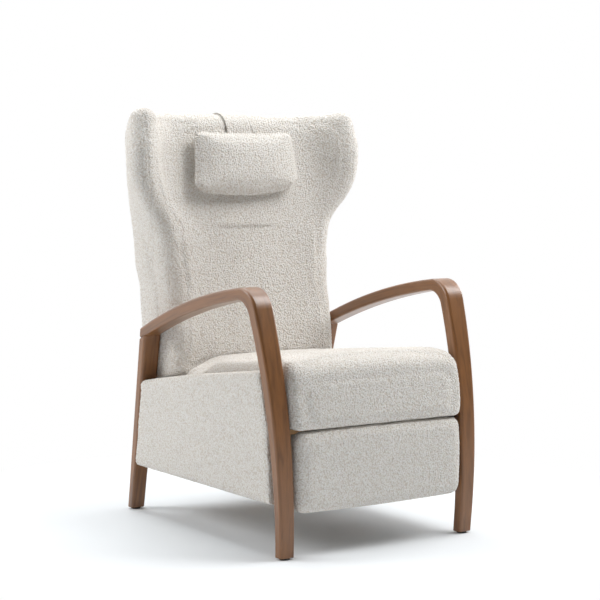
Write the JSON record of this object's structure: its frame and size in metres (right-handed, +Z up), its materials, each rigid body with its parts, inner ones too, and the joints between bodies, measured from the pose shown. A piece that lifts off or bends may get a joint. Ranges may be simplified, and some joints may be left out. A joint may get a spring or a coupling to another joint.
{
  "type": "recliner",
  "caption": "High-legged reclining wing armchair with bent wooden arms, an upholstered seat, sides and winged back, a head pillow and a fold-out footrest.",
  "frame": {"origin": "on the floor under the middle of the chair's bounding box", "axes": "+Z up, the sitter faces -Y, +X is the sitter's left"},
  "size_m": [0.728, 0.8429, 1.0902],
  "materials": {
    "stained_beech": "satin",
    "plywood": "matte",
    "ivory_boucle": "matte",
    "webbing": "matte",
    "black_steel": "satin",
    "zinc_steel": "satin",
    "dark_glide": "matte"
  },
  "bodies": {
    "frame": {"left_arm_and_front_leg": "stained_beech", "right_arm_and_front_leg": "stained_beech", "left_rear_leg": "stained_beech", "right_rear_leg": "stained_beech", "foot_glides": "dark_glide", "left_side_board": "plywood", "right_side_board": "plywood", "left_side_pad": "ivory_boucle", "right_side_pad": "ivory_boucle", "front_cross_rail": "plywood", "rear_cross_rail": "plywood", "rail_bolts": "zinc_steel", "rear_apron_pad": "ivory_boucle", "rear_apron_board": "plywood", "left_base_plate": "black_steel", "right_base_plate": "black_steel", "base_plate_screws": "zinc_steel", "back_pivot_pins": "zinc_steel", "left_slide_track": "black_steel", "right_slide_track": "black_steel"},
    "seat": {"seat_frame": "plywood", "seat_webbing": "webbing", "seat_cushion": "ivory_boucle", "left_slide_runner": "black_steel", "right_slide_runner": "black_steel", "left_seat_hanger": "black_steel", "right_seat_hanger": "black_steel", "hanger_screws": "zinc_steel", "drive_lugs": "black_steel", "footrest_pivot_pins": "zinc_steel"},
    "lower_links": {"left_lower_link": "black_steel", "right_lower_link": "black_steel", "lower_link_tube": "black_steel", "lower_link_pins": "zinc_steel"},
    "upper_links": {"left_upper_link": "black_steel", "right_upper_link": "black_steel", "upper_link_tube": "black_steel", "upper_link_pins": "zinc_steel"},
    "footrest": {"left_footrest_bracket": "black_steel", "right_footrest_bracket": "black_steel", "footrest_screws": "zinc_steel", "footrest_board": "plywood", "footrest_pad": "ivory_boucle"},
    "control_links": {"control_links": "black_steel"},
    "back": {"back_frame": "plywood", "back_webbing": "webbing", "back_pad": "ivory_boucle", "left_wing": "ivory_boucle", "right_wing": "ivory_boucle", "back_shell": "ivory_boucle", "left_back_bracket": "black_steel", "right_back_bracket": "black_steel", "back_screws": "zinc_steel", "lever_pins": "zinc_steel", "head_strap": "ivory_boucle"},
    "drive_links": {"drive_links": "black_steel"},
    "head_pillow": {"head_pillow": "ivory_boucle"},
    "counterweight": {"strap_counterweight": "ivory_boucle"}
  },
  "joints": [
    {"name": "back_recline", "type": "hinge", "parent": "frame", "child": "back", "pos_m": [0, 0.24053, 0.33868], "axis": [-1, 0, 0], "range_deg": [0, 33]},
    {"name": "seat_slide", "type": "slide", "parent": "frame", "child": "seat", "axis": [0, -0.9951, 0.0993], "range_m": [0, 0.0572]},
    {"name": "footrest_lower_link_swing", "type": "hinge", "parent": "seat", "child": "lower_links", "pos_m": [0, -0.26938, 0.28942], "axis": [-1, 0, 0], "range_deg": [0, 113]},
    {"name": "footrest_upper_link_swing", "type": "hinge", "parent": "lower_links", "child": "upper_links", "pos_m": [0, -0.19055, 0.13881], "axis": [1, 0, 0], "range_deg": [0, 99.8]},
    {"name": "footrest_tilt", "type": "hinge", "parent": "upper_links", "child": "footrest", "pos_m": [0, -0.34915, 0.2], "axis": [-1, 0, 0], "range_deg": [0, 71.3]},
    {"name": "control_link_swing", "type": "hinge", "parent": "lower_links", "child": "control_links", "pos_m": [0, -0.29805, 0.31119], "axis": [1, 0, 0], "range_deg": [0, 111.6]},
    {"name": "drive_link_swing", "type": "hinge", "parent": "back", "child": "drive_links", "pos_m": [0, 0.23553, 0.234], "axis": [1, 0, 0], "range_deg": [0, 38.5]},
    {"name": "pillow_height", "type": "slide", "parent": "back", "child": "head_pillow", "axis": [0, 0.1805, 0.9836], "range_m": [-0.16, 0.04], "deforming": ["head_strap"]},
    {"name": "counterweight_height", "type": "slide", "parent": "back", "child": "counterweight", "axis": [0, 0.101, 0.9949], "range_m": [-0.0405, 0.1605]}
  ],
  "couplings": [
    {"joint": "seat_slide", "follows": "back_recline", "m_per_rad": 0.09852},
    {"joint": "footrest_lower_link_swing", "follows": "back_recline", "ratio": 3.409},
    {"joint": "footrest_upper_link_swing", "follows": "back_recline", "ratio": 3.0093},
    {"joint": "footrest_tilt", "follows": "back_recline", "ratio": 2.1458},
    {"joint": "control_link_swing", "follows": "back_recline", "ratio": 3.366},
    {"joint": "drive_link_swing", "follows": "back_recline", "ratio": 1.1512},
    {"joint": "counterweight_height", "follows": "pillow_height", "ratio": -1}
  ]
}
